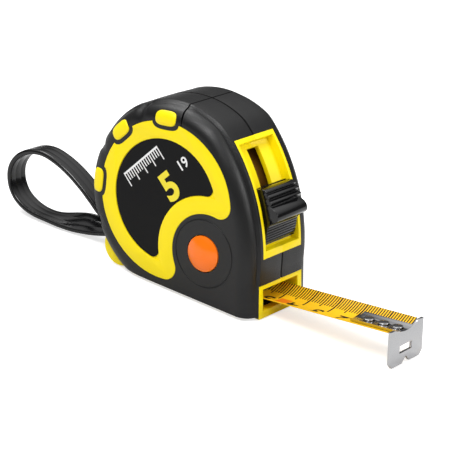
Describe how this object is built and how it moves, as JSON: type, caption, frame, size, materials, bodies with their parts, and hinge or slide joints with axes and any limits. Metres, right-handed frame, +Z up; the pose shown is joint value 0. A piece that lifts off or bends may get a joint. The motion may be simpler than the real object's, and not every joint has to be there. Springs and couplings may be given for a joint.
{
  "type": "pocket tape measure",
  "caption": "Pocket tape measure: rubber-covered case, spring spool, steel blade with sliding end hook, thumb lock, side brake button and wrist strap.",
  "frame": {"origin": "on the base plane, midway across the case, directly under the spool's axis", "axes": "+X the way the blade comes out, +Y across the case away from the button side, +Z up"},
  "size_m": [0.1711, 0.0379, 0.065],
  "materials": {
    "case_plastic": "semi-gloss moulded ABS",
    "grip_rubber": "fine satin texture",
    "label_film": "printed film",
    "plated_steel": "bright nickel plate",
    "spring_steel": "blued",
    "soft_black": "matte",
    "spool_plastic": "natural acetal",
    "blade_paint": "satin lacquer",
    "black_plastic": "gloss",
    "orange_plastic": "gloss",
    "strap_vinyl": "glossy soft vinyl"
  },
  "bodies": {
    "case": {"case_left": "case_plastic", "case_right": "case_plastic", "grip_left": "grip_rubber", "grip_right": "grip_rubber", "label_left": "label_film", "label_right": "label_film", "case_screws": "plated_steel", "blade_guard": "soft_black", "spool_axle": "plated_steel", "axle_washers": "plated_steel", "blade_lead": "blade_paint", "button_spring": "spring_steel", "strap_pin": "plated_steel", "strap_anchor": "strap_vinyl", "wrist_strap": "strap_vinyl"},
    "spool": {"spool_drum": "spool_plastic", "spool_cover": "spool_plastic", "blade_coil": "blade_paint", "mainspring": "spring_steel"},
    "blade": {"blade": "blade_paint", "hook_rivets": "plated_steel"},
    "hook": {"end_hook": "plated_steel"},
    "lock": {"lock_thumb": "black_plastic", "lock_carrier": "spool_plastic", "lock_pad": "soft_black"},
    "button": {"brake_button": "orange_plastic", "brake_pad": "soft_black"}
  },
  "joints": [
    {"name": "blade_pull", "type": "slide", "parent": "case", "child": "blade", "axis": [0.9936, 0, 0.1132], "range_m": [-0.048, 0.03], "deforming": ["blade", "blade_lead"]},
    {"name": "spool_spin", "type": "hinge", "parent": "case", "child": "spool", "pos_m": [0, 0, 0.03], "axis": [0, 1, 0], "range_deg": [-69, 108]},
    {"name": "hook_play", "type": "slide", "parent": "blade", "child": "hook", "axis": [0.9936, 0, 0.1132], "range_m": [-0.0009, 0]},
    {"name": "lock_slide", "type": "hinge", "parent": "case", "child": "lock", "pos_m": [-0.027, 0, 0.012], "axis": [0, -1, 0], "range_deg": [0, 12.5]},
    {"name": "button_press", "type": "slide", "parent": "case", "child": "button", "axis": [0, 1, 0], "range_m": [0, 0.0016], "stiffness_N_per_m": 400, "springref_m": -0.0005, "deforming": ["button_spring"]}
  ],
  "couplings": [
    {"joint": "spool_spin", "follows": "blade_pull", "rad_per_m": -38.9}
  ]
}
